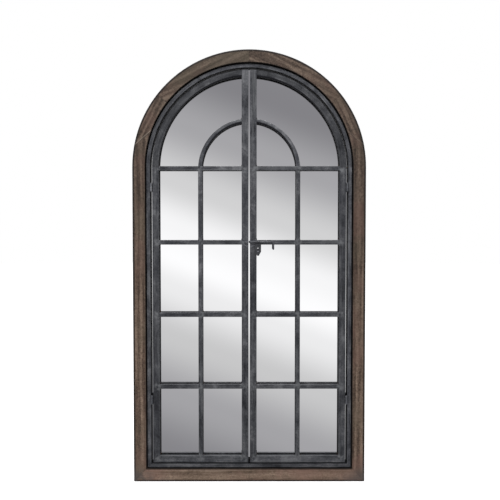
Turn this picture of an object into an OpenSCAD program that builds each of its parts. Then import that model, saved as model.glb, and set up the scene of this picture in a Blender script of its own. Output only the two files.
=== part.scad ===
// Arched window mirror: a timber ring, a folded steel frame, two barred steel leaves
// on barrel hinges, a slide bolt with a hanging hasp, and one fixed mirror behind them.
// Front is -Y, the wall plane is y = 0, and the origin is the middle of the base on that plane.

/* [Timber frame] */
// Overall width of the mirror
frame_w = 812; // [740:1:900]
// Height of the line where the arch springs from the posts
spring_h = 1104; // [1080:1:1200]
// Width of the timber seen from the front
wood_face = 44; // [42:0.5:52]
// Depth of the timber from the wall to its face
wood_depth = 45; // [43:0.5:56]
// Radius of the outer front edge of the timber
outer_arris = 3.5; // [2:0.1:6]
// Radius of the inner front edge of the timber
inner_arris = 1.5; // [0.8:0.1:4]
// Angle on the arch where the splice of the post leaves the outer edge
splice_outer_a = 10.2; // [7:0.1:12]
// Angle on the arch where the splice of the post meets the inner edge
splice_inner_a = 19; // [16:0.5:21]
// How far the blunt nib of the splice reaches past the rounded inner edge
splice_nib = 2; // [1.5:0.1:4]
// Angle of the joint between the haunch and the crown piece
crown_joint_a = 38; // [35:1:44]
// Width of the step that takes the glass and the steel flange
glass_rebate = 14; // [12:0.5:16]
// Width of the step that takes the back board
board_rebate = 10; // [9:0.5:11]
// Diameter of the dowels in the timber joints
dowel_d = 8; // [6:0.5:8]
// Length of the dowels
dowel_len = 32; // [24:1:34]
// Distance of a dowel's axis from the timber face, and from the lip behind
dowel_inset = 9; // [7:0.5:10]

/* [Steel frame] */
// Shadow gap between the timber and the steel
shadow_gap = 4; // [3:0.25:5]
// Width of the steel frame seen from the front
steel_face = 13; // [12:0.5:18]
// How far the steel face stands behind the timber face
steel_set_back = 8; // [6:0.5:10]
// Thickness of the folded sheet
steel_wall = 2.5; // [2:0.1:3]
// Depth of the fold that returns beside the shadow gap
steel_return = 8; // [6:0.5:10]
// Radius of the bends along the face
fold_r = 1.2; // [0.6:0.1:1.8]
// Width of the stop tab behind the leaves
stop_w = 24; // [18:1:34]
// Height of the stop tab above the sill
stop_h = 14; // [10:0.5:20]
// Thickness of the stop tab
stop_t = 1.5; // [1:0.1:2.5]
// Length of the stop tab's foot on the sill
stop_foot = 5; // [3:0.5:6]

/* [Leaves] */
// Gap between a leaf and the steel frame
leaf_gap = 7; // [4.6:0.1:8]
// Gap under the leaves
sill_gap = 4.5; // [3:0.5:6]
// Gap where the two leaves meet
centre_gap = 5; // [4.5:0.5:8]
// Depth of the leaf bars
leaf_t = 15; // [12:0.5:17]
// How far the leaf face stands behind the steel face
leaf_set_back = 1; // [0.5:0.1:2]
// Width of the stiles, the arch rail and the foot rail
stile_w = 23.5; // [19:0.5:26]
// Width of the muntins
muntin_w = 15; // [13:0.5:18]
// Number of cross muntins in each leaf, the spring bar included
cross_count = 4; // [3:1:6]
// How far the top of the spring bar lies above the spring line
spring_bar_rise = 4.5; // [0:0.5:8]
// Radius of the small arch at its middle line
small_arch_r = 170.5; // [140:0.5:190]
// How far the centre of the small arch lies below the spring line
small_arch_drop = 8; // [0:0.5:13]
// Radius of the front edges of every bar
bar_arris = 1; // [0.4:0.1:2]

/* [Hinges] */
// Height of a hinge
hinge_h = 28; // [24:1:40]
// Outer radius of the barrel
knuckle_r = 4; // [3.6:0.1:4.2]
// Height of each outer knuckle
outer_knuckle_h = 8.4; // [7:0.2:9]
// Radius of the hinge pin
pin_r = 2; // [1.5:0.1:2.4]
// How far a pin head stands out round the pin
pin_head_lip = 0.9; // [0.6:0.1:1.4]
// Height of a pin head
pin_head_h = 1.6; // [1:0.1:2.5]
// Chamfer of a pin head
pin_head_chamfer = 0.6; // [0.2:0.1:0.8]
// How far the pin stands in front of the steel face
pin_proud = 4; // [3.8:0.1:5]
// Thickness of a hinge leaf
hinge_leaf_t = 1.5; // [1:0.1:1.6]
// How far a hinge leaf reaches behind the pin
hinge_leaf_reach = 17; // [15:0.5:18.5]
// Height of the upper hinges at their middle
upper_hinge_z = 1035; // [980:1:1050]
// Height of the lower hinges at their middle
lower_hinge_z = 289; // [180:1:300]
// Distance of the hinge rivets from the back edge of a hinge leaf
hinge_rivet_inset = 4.5; // [3:0.1:6]
// Distance of the hinge rivets from the ends of a hinge leaf
hinge_rivet_end = 5; // [3:0.5:8]
// Radius of the rivet shanks
rivet_r = 1.2; // [0.8:0.1:1.3]
// Radius of the rivet heads
rivet_head_r = 2.4; // [1.8:0.1:2.6]
// Height of the rivet heads
rivet_head_h = 0.9; // [0.6:0.1:1]
// Length of the rivets
rivet_len = 7; // [5:0.5:10]

/* [Bolt] */
// Radius of the bolt rod
rod_r = 3; // [2.5:0.1:3.2]
// How far the rod lies above the middle of its muntin
bolt_rise = 1.5; // [0:0.1:2]
// Distance of the handle from the centre line
handle_x = 84.3; // [80:0.1:110]
// Length of the turned-down handle below the rod's axis
handle_drop = 27; // [20:0.5:45]
// Radius of the bend in the rod
rod_bend = 7; // [5:0.5:10]
// Thickness of the latch plates
plate_t = 1.2; // [0.8:0.1:1.5]
// Radius of the rose that the two latch plates form
rose_r = 27; // [26:0.5:30]
// How far the middle of the rose lies above the rod
rose_rise = 8; // [6:0.5:9]
// How far the latch plates reach above the rod
plate_top = 7; // [6.5:0.5:9]
// Distance of the plate rivets below the rod
rivet_drop = 10; // [9:0.5:11]
// Distance of the first plate rivet from the edge of the stile
plate_rivet_inset = 4.4; // [3.5:0.1:6]
// Spacing of the two plate rivets
plate_rivet_pitch = 8.4; // [7:0.1:10]
// Chamfer at the tip of the rod
tip_chamfer = 0.8; // [0.3:0.1:1.5]
// Wall of the guide loops
loop_wall = 1.4; // [1:0.1:1.8]
// Width of the guide loop beside the centre gap
guide_w = 5; // [4:0.5:5.5]
// Distance of that loop from the edge of its stile
guide_inset = 1; // [0.5:0.1:1.5]
// Distance of the loop on the muntin from the centre line
muntin_guide_x = 60; // [58:0.5:62]
// Width of the loop on the muntin
muntin_guide_w = 4; // [3:0.5:5]
// Width of the foot plate of the loop on the muntin
foot_plate_w = 18; // [17:0.5:20]
// Corner radius of the foot plate
foot_plate_corner = 2; // [0.5:0.1:3]
// Distance of the foot plate's rivets from its ends
foot_rivet_end = 2.5; // [2.4:0.1:3]
// Length of the keeper
keeper_len = 14; // [13:0.5:18]
// Distance of the keeper from the edge of its stile
keeper_inset = 0.5; // [0.3:0.1:1.5]
// Distance of the middle of the hasp from the centre line
hasp_x = 31; // [30.5:0.5:34]
// Width of the hasp
hasp_w = 21; // [18:0.5:22]
// Length of the hasp below the rod's axis
hasp_len = 48; // [42:1:60]
// Thickness of the hasp
hasp_t = 2; // [1.5:0.1:3]
// Width of the eye that the hasp hangs by
eye_w = 13; // [11:0.5:14]
// Height of the tapered tip of the hasp
hasp_taper = 14.5; // [12:0.5:18]
// Radius of the round tip of the hasp
hasp_tip_r = 5; // [4:0.1:6]
// Radius of the hole in the hasp
hasp_hole_r = 2.6; // [2:0.1:3.5]
// Distance of that hole below the rod's axis
hasp_hole_drop = 22.5; // [16:0.5:26]
// Radius of the stud's head on the hasp
stud_r = 2.4; // [2:0.1:3]
// Height of the stud's head
stud_head_h = 1.2; // [0.6:0.1:1.8]
// Radius of the stud's shank
stud_shank_r = 1.2; // [0.8:0.1:1.6]
// Distance of the stud below the rod's axis
stud_drop = 33.5; // [31:0.5:36]
// Width of the collars that hold the hasp on the rod
collar_w = 1.7; // [1:0.1:2]

/* [Mirror and back] */
// Thickness of the mirror glass
glass_t = 4; // [3:0.5:5]
// Thickness of the back board
board_t = 4; // [3:0.5:5]
// How far the back board lies inside the wall plane
board_inset = 3; // [2.5:0.1:4]
// Radius of the screw shanks
screw_r = 1.5; // [1.2:0.1:1.7]
// Radius of the screw heads
screw_head_r = 3; // [2.4:0.1:3.2]
// Height of the screw heads
screw_head_h = 1.5; // [1:0.1:2]
// Length of the screws
screw_len = 16; // [12:1:20]
// Number of screws up each side
side_screws = 4; // [3:1:5]
// Number of screws along the foot
foot_screws = 3; // [2:1:5]

/* [Hangers] */
// Height of the hangers
hanger_z = 1000; // [900:5:1020]
// Width of a hanger plate
hanger_w = 16; // [14:0.5:17]
// Height of a hanger plate
hanger_h = 44; // [42:1:60]
// Thickness of a hanger plate
hanger_t = 1.5; // [1.2:0.1:2]
// Corner radius of a hanger plate
hanger_corner = 2; // [0.5:0.1:4]
// Distance of the hanger's screws from its ends
hanger_screw_end = 5; // [4.5:0.1:6]
// Radius of the hole that a screw head enters
hanger_hole_r = 4.5; // [4:0.1:5]
// Half width of the slot that holds the neck of the screw
hanger_slot_r = 2.25; // [1.8:0.05:2.4]
// Length of the slot above the hole
hanger_slot_len = 10; // [8:0.5:12]
// How much wider the pocket behind the plate is than the hole
pocket_margin = 1; // [0.5:0.1:1.5]
// Depth of that pocket
pocket_depth = 10; // [8:0.5:14]

/* [Fits] */
// Radial clearance of the pins and the bolt in their knuckles and loops
running_fit = 0.06; // [0.03:0.01:0.09]
// Clearance between the ends of neighbouring knuckles
end_play = 0.3; // [0.2:0.05:0.5]
// Radial clearance round fixed screws, rivets and dowels
fixed_fit = 0.05; // [0.03:0.01:0.1]
// Radial clearance of the bolt in its keeper
keeper_fit = 1; // [0.6:0.1:1.2]
// Gap between the drawn bolt and the keeper
tip_clear = 1.5; // [1.4:0.1:2]
// Clearance of the glass and the board in their steps
sheet_clear = 1.5; // [1:0.1:3]
// Clearance between the stop tab and the leaves
stop_clear = 0.5; // [0.3:0.1:1]
// Clearance of a knuckle from the edge of the other hinge leaf
knuckle_clear = 0.4; // [0.3:0.05:0.5]
// Clearance between the hasp's eye and the latch plate
eye_clear = 0.5; // [0.3:0.1:0.8]
// Clearance between the hasp's shoulders and the loops above them
shoulder_clear = 1.6; // [1:0.1:2.5]
// Gap between the hasp's eye and each collar
collar_gap = 0.3; // [0.2:0.05:0.5]

/* [Hidden] */
$fn = 96;
WOOD = [0.41, 0.35, 0.30];
STEEL = [0.28, 0.30, 0.32];
MIRROR = [0.86, 0.87, 0.88];
BOARD = [0.52, 0.42, 0.30];
ZINC = [0.62, 0.63, 0.64];
// How far a cut runs past the surface that it opens
past = 1;
e = 0.01;
far = 3 * frame_w;

LEFT = -1;
RIGHT = 1;

// Timber, measured from the centre line and from the wall
half_w = frame_w / 2;
opening_r = half_w - wood_face;
glass_step_r = opening_r + glass_rebate;
board_step_r = glass_step_r + board_rebate;
board_d = board_inset;
glass_d = board_d + board_t;
flange_d = glass_d + glass_t;
lip_d = flange_d + steel_wall;
glass_r = glass_step_r - sheet_clear;
board_r = board_step_r - sheet_clear;
dowel_depths = [lip_d + dowel_inset, wood_depth - dowel_inset];

// Lines of the timber joints, each from its outer to its inner end
mitre = [[half_w, 0], [opening_r, wood_face]];
splice = [polar(half_w, splice_outer_a), polar(opening_r + inner_arris + splice_nib, splice_inner_a)];
crown_joint = [polar(half_w, crown_joint_a), polar(opening_r, crown_joint_a)];
top_joint = [polar(half_w, 90), polar(opening_r, 90)];

// Steel frame and leaves
steel_out = opening_r - shadow_gap;
steel_in = steel_out - steel_face;
steel_front = wood_depth - steel_set_back;
sill_top = half_w - steel_in;
leaf_r = steel_in - leaf_gap;
leaf_front = steel_front - leaf_set_back;
leaf_back = leaf_front - leaf_t;
leaf_foot = sill_top + sill_gap;
foot_top = leaf_foot + stile_w;
meet_x = centre_gap / 2;
stile_x = meet_x + stile_w;
hinge_stile_x = leaf_r - stile_w;
upright_x = small_arch_r - muntin_w / 2;
small_arch_z = spring_h - small_arch_drop;
spring_bar_top = spring_h + spring_bar_rise;
pane_h = (spring_h - foot_top - cross_count * muntin_w) / cross_count;

// Mitres at the foot of a leaf, at its hinge stile and at its meeting stile
outer_foot = [[leaf_r, leaf_foot], [hinge_stile_x, foot_top]];
inner_foot = [[meet_x, leaf_foot], [stile_x, foot_top]];

// Hinges
hinge_x = steel_in - leaf_gap / 2;
hinge_d = steel_front + pin_proud;
knuckle_split_z = hinge_h / 2 - outer_knuckle_h;
pin_head_r = pin_r + pin_head_lip;
hinge_heights = [upper_hinge_z, lower_hinge_z];
hinge_rivet_d = hinge_d - hinge_leaf_reach + hinge_rivet_inset;
hinge_rivet_z = hinge_h / 2 - hinge_rivet_end;

// Bolt and hasp
muntin_mid_z = spring_h - 1.5 * muntin_w - pane_h;
bolt_z = muntin_mid_z + bolt_rise;
plate_front = leaf_front + plate_t;
eye_r = rod_r + running_fit + loop_wall;
bolt_d = plate_front + eye_r + eye_clear;
keeper_bore_r = rod_r + keeper_fit;
keeper_x = -meet_x - keeper_inset;
tip_x = keeper_x + tip_clear;
guide_x = meet_x + guide_inset;
foot_plate_h = muntin_w - 2 * bar_arris;
collar_r = rod_r + loop_wall;
hasp_neck = eye_r + shoulder_clear;
plate_rivets = [for (i = [0, 1])
  [meet_x + plate_rivet_inset + i * plate_rivet_pitch, bolt_z - rivet_drop]];
foot_rivets = [for (s = [LEFT, RIGHT])
  [muntin_guide_x + s * (foot_plate_w / 2 - foot_rivet_end), muntin_mid_z]];

// Screws and hangers. The angles keep the arch's screws clear of the timber joints.
flange_screw_r = (opening_r + glass_r) / 2;
board_screw_r = (glass_step_r + board_r) / 2;
arch_screw_angles = [27, 56, 76];
hanger_x = (half_w + board_step_r) / 2;
hanger_screw_z = hanger_h / 2 - hanger_screw_end;
pocket_r = hanger_hole_r + pocket_margin;

// Shared shapes. A section's X is the distance from the centre line and its Y the distance
// from the wall. An outline's X and Y are the mirror's X and Z.

function polar(r, a) = [r * cos(a), spring_h + r * sin(a)];
function unit(v) = v / norm(v);

// Draws its children on the right side, or mirrored on the left
module on_side(side) {
  mirror([side == LEFT ? 1 : 0, 0, 0]) children();
}

// Sweeps a section upwards between two heights
module upright(from, to) {
  translate([0, 0, from]) mirror([0, 1, 0]) linear_extrude(to - from) children();
}

// Sweeps a section round the arch's centre, at the height z, between angles counted from +X
module arc(from, to, z = spring_h) {
  translate([0, 0, z]) rotate([90, 0, 0]) rotate([0, 0, from])
    rotate_extrude(angle = to - from, $fn = 180) children();
}

// Sweeps a section along X. The section's X counts down from the height z.
module across(from, to, z) {
  translate([from, 0, z]) rotate([0, 90, 0]) mirror([0, 1, 0]) linear_extrude(to - from) children();
}

// Gives an outline its thickness t, from the distance d towards the front
module sheet(d, t) {
  translate([0, -d, 0]) rotate([90, 0, 0]) linear_extrude(t) children();
}

// Everything to the left of the line from a to b, as a solid through the whole depth
module left_of(a, b) {
  u = unit(b - a);
  n = [-u.y, u.x];
  sheet(-past, wood_depth + 2 * past)
    polygon([a - far * u, b + far * u, b + far * (u + n), a + far * (n - u)]);
}

// A square corner less its round, which takes an edge off a section.
// sx and sy point from the middle of the section to the corner.
module edge_off(x, y, sx, sy, r) {
  translate([x - sx * r, y - sy * r]) difference() {
    translate([sx > 0 ? 0 : -r - e, sy > 0 ? 0 : -r - e]) square(r + e);
    circle(r);
  }
}

// A cylinder from the outline point p at distance d, running len towards the front
module forward(p, d, len, r) {
  translate([p.x, -d, p.y]) rotate([90, 0, 0]) cylinder(h = len, r = r);
}

// A countersunk fastener along Z, its head at z = 0
module sunk_fastener(len, r, r_head, h_head, slack) {
  cylinder(h = len + slack, r = r + slack);
  cylinder(h = h_head, r1 = r_head + slack, r2 = r + slack);
}

// A countersunk screw that enters at distance d and runs towards the front
module sunk_screw(p, d, len, slack = 0) {
  translate([p.x, -d, p.y]) rotate([90, 0, 0])
    sunk_fastener(len, screw_r, screw_head_r, screw_head_h, slack);
}

// A domed head on the plane at distance d, facing the front
module dome(p, d, r, h) {
  ball = (r * r + h * h) / (2 * h);
  intersection() {
    translate([p.x, ball - h - d, p.y]) sphere(ball);
    forward(p, d, 2 * h, r);
  }
}

// A domed rivet through the plate whose front is at distance d
module domed_rivet(p, d) {
  forward(p, d - rivet_len, rivet_len, rivet_r);
  dome(p, d, rivet_head_r, rivet_head_h);
}

// The hole of that rivet
module rivet_hole(p, d) {
  forward(p, d - rivet_len - fixed_fit, rivet_len + past, rivet_r + fixed_fit);
}

module rounded_rect(w, h, r) {
  square([w - 2 * r, h], center = true);
  square([w, h - 2 * r], center = true);
  for (x = [-1, 1], y = [-1, 1])
    translate([x * (w / 2 - r), y * (h / 2 - r)]) circle(r);
}

// The arched outline at radius r from the centre line
module arched_outline(r) {
  translate([-r, half_w - r]) square([2 * r, spring_h - half_w + r]);
  translate([0, spring_h]) circle(r, $fn = 180);
}

// Where screws stand on the arched outline at radius r, each side screw mid-way in its bay
function screw_points(r) = concat(
  [for (s = [LEFT, RIGHT], i = [0:side_screws - 1])
    [s * r, half_w - r + (spring_h - half_w + r) * (i + 0.5) / side_screws]],
  [for (s = [LEFT, RIGHT], a = arch_screw_angles) [s * r * cos(a), spring_h + r * sin(a)]],
  [for (i = [1:foot_screws]) [2 * r * i / (foot_screws + 1) - r, half_w - r]]
);

// Timber frame: one bottom rail, two posts that run up into the arch, two haunches and two
// crown pieces, stepped at the back for the glass and the board

module wood_section() {
  difference() {
    translate([opening_r, 0]) square([wood_face, wood_depth]);
    translate([opening_r - e, -e]) square([glass_rebate + e, lip_d + e]);
    translate([opening_r - e, -e]) square([glass_rebate + board_rebate + e, glass_d + e]);
    edge_off(half_w, wood_depth, 1, 1, outer_arris);
    edge_off(opening_r, wood_depth, -1, 1, inner_arris);
  }
}

// Two dowels one behind the other, square to the joint from its outer to its inner end
module joint_dowels(joint, slack) {
  middle = (joint[0] + joint[1]) / 2;
  along = joint[0] - joint[1];
  for (d = dowel_depths)
    translate([middle.x, -d, middle.y]) rotate([0, -atan2(along.y, along.x), 0])
      cylinder(h = dowel_len + 2 * slack, r = dowel_d / 2 + slack, center = true);
}

module all_dowels(slack = 0) {
  for (s = [LEFT, RIGHT], joint = [mitre, splice, crown_joint])
    on_side(s) joint_dowels(joint, slack);
  joint_dowels(top_joint, slack);
}

module hanger_at(side) {
  on_side(side) translate([hanger_x, 0, hanger_z]) children();
}

// The recess of a hanger plate, with the pocket that takes the screw head behind it
module hanger_recess() {
  sheet(-past, hanger_t + past)
    rounded_rect(hanger_w + 2 * fixed_fit, hanger_h + 2 * fixed_fit, hanger_corner);
  sheet(0, pocket_depth) {
    for (z = [-1, 1]) translate([0, z * hanger_slot_len / 2]) circle(pocket_r);
    square([2 * pocket_r, hanger_slot_len], center = true);
  }
  for (z = [-1, 1]) forward([0, z * hanger_screw_z], 0, screw_len + fixed_fit, screw_r + fixed_fit);
}

// Gives a timber piece its colour and drills it for the dowels and screws
module timber() {
  color(WOOD) difference() {
    children();
    all_dowels(fixed_fit);
    for (p = screw_points(flange_screw_r)) sunk_screw(p, flange_d, screw_len, fixed_fit);
    for (p = screw_points(board_screw_r))
      forward(p, board_d, screw_len + fixed_fit, screw_r + fixed_fit);
  }
}

module bottom_rail() {
  timber() difference() {
    across(-half_w, half_w, half_w) wood_section();
    for (s = [LEFT, RIGHT]) on_side(s) left_of(mitre[1], mitre[0]);
  }
}

// A post ends in a slanting splice, whose inner end is a blunt nib square to the arch
module post(side) {
  timber() difference() {
    on_side(side) difference() {
      union() {
        upright(0, spring_h) wood_section();
        arc(0, splice_inner_a) wood_section();
      }
      left_of(mitre[0], mitre[1]);
      left_of(splice[1], splice[0]);
    }
    hanger_at(side) hanger_recess();
  }
}

// A haunch is cut back where the post's splice and its nib lie
module haunch(side) {
  timber() on_side(side) difference() {
    arc(0, crown_joint_a) wood_section();
    intersection() {
      left_of(splice[0], splice[1]);
      left_of(polar(half_w, splice_inner_a), polar(0, splice_inner_a));
    }
  }
}

module crown(side) {
  timber() on_side(side) arc(crown_joint_a, 90) wood_section();
}

module frame_dowels() {
  color(WOOD) all_dowels();
}

// Steel frame: a folded channel with a back flange that is screwed to the timber lip

module steel_section() {
  difference() {
    union() {
      translate([steel_in, steel_front - steel_wall]) square([steel_face, steel_wall]);
      translate([steel_in, flange_d]) square([steel_wall, steel_front - flange_d]);
      translate([steel_out - steel_wall, steel_front - steel_return]) square([steel_wall, steel_return]);
      translate([steel_in, flange_d]) square([glass_r - steel_in, steel_wall]);
    }
    edge_off(steel_in, steel_front, -1, 1, fold_r);
    edge_off(steel_out, steel_front, 1, 1, fold_r);
  }
}

module steel_bar() {
  color(STEEL) difference() {
    children();
    for (p = screw_points(flange_screw_r)) sunk_screw(p, flange_d, screw_len, fixed_fit);
  }
}

module steel_sill() {
  steel_bar() difference() {
    across(-glass_r, glass_r, half_w) steel_section();
    for (s = [LEFT, RIGHT]) on_side(s) left_of(mitre[1], mitre[0]);
  }
}

module jamb(side) {
  steel_bar() on_side(side) difference() {
    upright(0, spring_h) steel_section();
    left_of(mitre[0], mitre[1]);
    for (z = hinge_heights) frame_rivets(z, fixed_fit);
  }
}

module steel_arch() {
  steel_bar() arc(0, 180) steel_section();
}

module flange_screws() {
  color(ZINC) for (p = screw_points(flange_screw_r)) sunk_screw(p, flange_d, screw_len);
}

// A bent tab on the sill that both leaves close against
module door_stop() {
  upstand_d = leaf_back - stop_clear - stop_t;
  color(STEEL) {
    sheet(upstand_d, stop_t) translate([-stop_w / 2, sill_top]) square([stop_w, stop_h]);
    sheet(upstand_d - stop_foot, stop_foot + stop_t / 2)
      translate([-stop_w / 2, sill_top]) square([stop_w, stop_t]);
  }
}

// Mirror, board and what holds them

module mirror_glass() {
  color(MIRROR) sheet(glass_d, glass_t) arched_outline(glass_r);
}

module back_board() {
  color(BOARD) difference() {
    sheet(board_d, board_t) arched_outline(board_r);
    for (p = screw_points(board_screw_r)) forward(p, 0, glass_d + past, screw_r + fixed_fit);
  }
}

module board_screws() {
  color(ZINC) for (p = screw_points(board_screw_r)) {
    forward(p, board_d - screw_head_h, screw_len + screw_head_h, screw_r);
    forward(p, board_d - screw_head_h, screw_head_h, screw_head_r);
  }
}

// A keyhole plate: the screw head enters the hole and its neck rises into the slot
module hanger(side) {
  color(ZINC) hanger_at(side) difference() {
    sheet(0, hanger_t) difference() {
      rounded_rect(hanger_w, hanger_h, hanger_corner);
      translate([0, -hanger_slot_len / 2]) circle(hanger_hole_r);
      translate([0, hanger_slot_len / 2]) circle(hanger_slot_r);
      translate([-hanger_slot_r, -hanger_slot_len / 2]) square([2 * hanger_slot_r, hanger_slot_len]);
    }
    for (z = [-1, 1]) sunk_screw([0, z * hanger_screw_z], 0, screw_len, fixed_fit);
  }
}

module hanger_screws() {
  color(ZINC) for (s = [LEFT, RIGHT], z = [-1, 1])
    hanger_at(s) sunk_screw([0, z * hanger_screw_z], 0, screw_len);
}

// Hinges. Each has a leaf with two knuckles on the jamb, a leaf with one knuckle on the
// stile, and a pin. Local X points to the jamb, and z = 0 is the middle of the barrel.

module hinge_at(side, z) {
  on_side(side) translate([hinge_x, -hinge_d, z]) children();
}

// A flush rivet of a hinge leaf, on the right side. It enters at x and runs to the jamb (1)
// or into the stile (-1).
module side_rivet(x, toward, z, len, slack) {
  translate([x, -hinge_rivet_d, z]) rotate([0, 90 * toward, 0])
    sunk_fastener(len, rivet_r, rivet_head_r, rivet_head_h, slack);
}

module frame_rivets(z, slack = 0) {
  for (s = [-1, 1])
    side_rivet(steel_in - hinge_leaf_t, 1, z + s * hinge_rivet_z, hinge_leaf_t + steel_wall, slack);
}

module door_rivets(z, slack = 0) {
  for (s = [-1, 1])
    side_rivet(leaf_r + hinge_leaf_t, -1, z + s * hinge_rivet_z, rivet_len, slack);
}

module hinge_plate(toward) {
  x = toward * (leaf_gap - hinge_leaf_t) / 2;
  translate([x - hinge_leaf_t / 2, 0, -hinge_h / 2]) cube([hinge_leaf_t, hinge_leaf_reach, hinge_h]);
}

// The barrel between two heights, at radius r
module barrel(from, to, r) {
  translate([0, 0, from]) cylinder(h = to - from, r = r);
}

module frame_leaf(side, z) {
  color(STEEL) difference() {
    hinge_at(side, z) difference() {
      union() {
        hinge_plate(1);
        barrel(knuckle_split_z, hinge_h / 2, knuckle_r);
        barrel(-hinge_h / 2, -knuckle_split_z, knuckle_r);
      }
      barrel(-knuckle_split_z, knuckle_split_z, knuckle_r + knuckle_clear);
      barrel(-hinge_h, hinge_h, pin_r + running_fit);
    }
    on_side(side) frame_rivets(z, fixed_fit);
  }
}

module door_leaf(side, z) {
  knuckle_z = knuckle_split_z - end_play;
  color(STEEL) difference() {
    hinge_at(side, z) difference() {
      union() {
        hinge_plate(-1);
        barrel(-knuckle_z, knuckle_z, knuckle_r);
      }
      barrel(knuckle_z, hinge_h, knuckle_r + knuckle_clear);
      barrel(-hinge_h, -knuckle_z, knuckle_r + knuckle_clear);
      barrel(-hinge_h, hinge_h, pin_r + running_fit);
    }
    on_side(side) door_rivets(z, fixed_fit);
  }
}

module hinge_pin(side, z) {
  color(STEEL) hinge_at(side, z) {
    barrel(-hinge_h / 2, hinge_h / 2, pin_r);
    for (flip = [0, 1]) mirror([0, 0, flip]) translate([0, 0, hinge_h / 2]) {
      cylinder(h = pin_head_h - pin_head_chamfer, r = pin_head_r);
      translate([0, 0, pin_head_h - pin_head_chamfer])
        cylinder(h = pin_head_chamfer, r1 = pin_head_r, r2 = pin_head_r - pin_head_chamfer);
    }
  }
}

module frame_leaf_rivets() {
  color(ZINC) for (s = [LEFT, RIGHT], z = hinge_heights) on_side(s) frame_rivets(z);
}

module leaf_rivets(side) {
  color(ZINC) for (z = hinge_heights) on_side(side) door_rivets(z);
}

// Leaves: welded bars, mitred at the foot. The muntins stand flush with the stiles.

// A bar whose outer front edges are rounded
module bar_section(x, w) {
  difference() {
    translate([x, leaf_back]) square([w, leaf_t]);
    edge_off(x, leaf_front, -1, 1, bar_arris);
    edge_off(x + w, leaf_front, 1, 1, bar_arris);
  }
}

module hinge_stile(side) {
  color(STEEL) on_side(side) difference() {
    upright(leaf_foot, spring_h) bar_section(hinge_stile_x, stile_w);
    left_of(outer_foot[0], outer_foot[1]);
    for (z = hinge_heights) door_rivets(z, fixed_fit);
  }
}

// The meeting stile runs up to the outer edge of the arch rail, which butts against it
module meeting_stile(side) {
  color(STEEL) on_side(side) difference() {
    intersection() {
      upright(leaf_foot, spring_h + leaf_r) bar_section(meet_x, stile_w);
      sheet(0, wood_depth) {
        translate([0, leaf_foot]) square([stile_x, spring_h - leaf_foot]);
        translate([0, spring_h]) circle(leaf_r, $fn = 180);
      }
    }
    left_of(inner_foot[1], inner_foot[0]);
    for (p = plate_rivets) rivet_hole(p, plate_front);
  }
}

module arch_rail(side) {
  color(STEEL) on_side(side) difference() {
    arc(0, 90) bar_section(hinge_stile_x, stile_w);
    left_of([stile_x, 0], [stile_x, 1]);
  }
}

module foot_rail(side) {
  color(STEEL) on_side(side) difference() {
    across(meet_x, leaf_r, foot_top) bar_section(0, stile_w);
    left_of(outer_foot[1], outer_foot[0]);
    left_of(inner_foot[0], inner_foot[1]);
  }
}

module upright_muntin(side) {
  color(STEEL) on_side(side)
    upright(foot_top, spring_bar_top - muntin_w) bar_section(upright_x, muntin_w);
}

// The spring bar is whole, and its end follows the inside of the leaf. The bars below it are cut
// to fit beside the upright muntin.
module cross_muntins(side) {
  color(STEEL) difference() {
    on_side(side) {
      intersection() {
        across(stile_x, leaf_r, spring_bar_top) bar_section(0, muntin_w);
        sheet(0, wood_depth) arched_outline(hinge_stile_x);
      }
      for (i = [1:cross_count - 1]) {
        top = spring_h - i * (pane_h + muntin_w);
        across(stile_x, upright_x, top) bar_section(0, muntin_w);
        across(upright_x + muntin_w, hinge_stile_x, top) bar_section(0, muntin_w);
      }
    }
    if (side == RIGHT)
      for (p = foot_rivets) rivet_hole(p, plate_front);
  }
}

module arch_muntin(side) {
  color(STEEL) on_side(side) difference() {
    arc(0, 90, small_arch_z) bar_section(upright_x, muntin_w);
    left_of([1, spring_bar_top], [0, spring_bar_top]);
    left_of([stile_x, 0], [stile_x, 1]);
  }
}

// Latch plates: two halves of one rose, each cut to the width of its stile

module rose_half(side) {
  on_side(side) difference() {
    sheet(leaf_front, plate_t) intersection() {
      translate([meet_x, bolt_z - rose_r]) square([stile_w, rose_r + plate_top]);
      translate([0, bolt_z + rose_rise]) circle(rose_r);
    }
    for (p = plate_rivets) rivet_hole(p, plate_front);
  }
}

// A cylinder along X on the rod's axis
module rod_line(from, to, r) {
  translate([from, -bolt_d, bolt_z]) rotate([0, 90, 0]) cylinder(h = to - from, r = r);
}

// A saddle that stands on a plate and goes round the rod's axis
module saddle(from, to, r) {
  rod_line(from, to, r);
  translate([from, -bolt_d, bolt_z - r]) cube([to - from, bolt_d - plate_front + plate_t / 2, 2 * r]);
}

// The keeper is a strap bent over the rod, open inside down to the plate
module keeper() {
  from = keeper_x - keeper_len;
  color(STEEL) difference() {
    union() {
      rose_half(LEFT);
      saddle(from, keeper_x, keeper_bore_r + loop_wall);
    }
    rod_line(from - past, keeper_x + past, keeper_bore_r);
    translate([from - past, -bolt_d, bolt_z - keeper_bore_r])
      cube([keeper_len + 2 * past, bolt_d - plate_front, 2 * keeper_bore_r]);
  }
}

module bolt_guide() {
  color(STEEL) difference() {
    union() {
      rose_half(RIGHT);
      saddle(guide_x, guide_x + guide_w, eye_r);
    }
    rod_line(guide_x - past, guide_x + guide_w + past, rod_r + running_fit);
  }
}

module muntin_guide() {
  from = muntin_guide_x - muntin_guide_w / 2;
  color(STEEL) difference() {
    union() {
      sheet(leaf_front, plate_t) translate([muntin_guide_x, muntin_mid_z])
        rounded_rect(foot_plate_w, foot_plate_h, foot_plate_corner);
      saddle(from, from + muntin_guide_w, eye_r);
    }
    rod_line(from - past, from + muntin_guide_w + past, rod_r + running_fit);
    for (p = foot_rivets) rivet_hole(p, plate_front);
  }
}

module keeper_rivets() {
  color(ZINC) on_side(LEFT) for (p = plate_rivets) domed_rivet(p, plate_front);
}

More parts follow.
